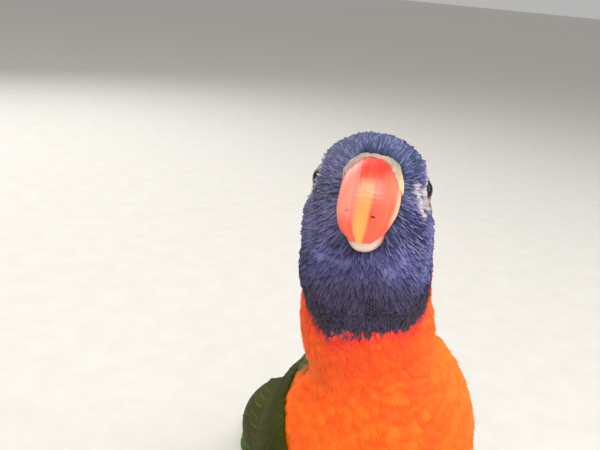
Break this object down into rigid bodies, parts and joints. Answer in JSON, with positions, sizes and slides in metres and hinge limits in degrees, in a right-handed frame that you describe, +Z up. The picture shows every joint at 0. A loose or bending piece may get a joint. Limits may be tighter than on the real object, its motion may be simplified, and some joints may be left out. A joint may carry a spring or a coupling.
{
  "type": "standing rainbow lorikeet",
  "caption": "Life-size parrot standing upright on the floor, neck stretched up, face raised and turned to its right, wings folded, tail laid back on the floor.",
  "frame": {"origin": "on the floor, under the middle of the bird's outline from above", "axes": "+Z up, -Y the way the breast faces, +X the bird's left"},
  "size_m": [0.0636, 0.1988, 0.178],
  "materials": {
    "blue_plumage": "soft feathers with paler streaks",
    "orange_plumage": "soft feathers",
    "green_plumage": "smooth feathers",
    "bill": "satin horn",
    "cere": "bare skin",
    "eye": "wet and clear",
    "foot": "small scales",
    "claw": "satin horn"
  },
  "bodies": {
    "root": {"head": "blue_plumage", "neck": "blue_plumage", "torso": "orange_plumage", "tail": "green_plumage", "cere": "cere", "upper_bill": "bill", "lower_bill": "bill", "left_eye": "eye", "left_wing": "green_plumage", "left_thigh": "green_plumage", "left_foot": "foot", "left_claw_inner_front": "claw", "left_claw_outer_front": "claw", "left_claw_outer_back": "claw", "left_claw_inner_back": "claw", "right_eye": "eye", "right_wing": "green_plumage", "right_thigh": "green_plumage", "right_foot": "foot", "right_claw_inner_front": "claw", "right_claw_outer_front": "claw", "right_claw_outer_back": "claw", "right_claw_inner_back": "claw"}
  },
  "joints": []
}
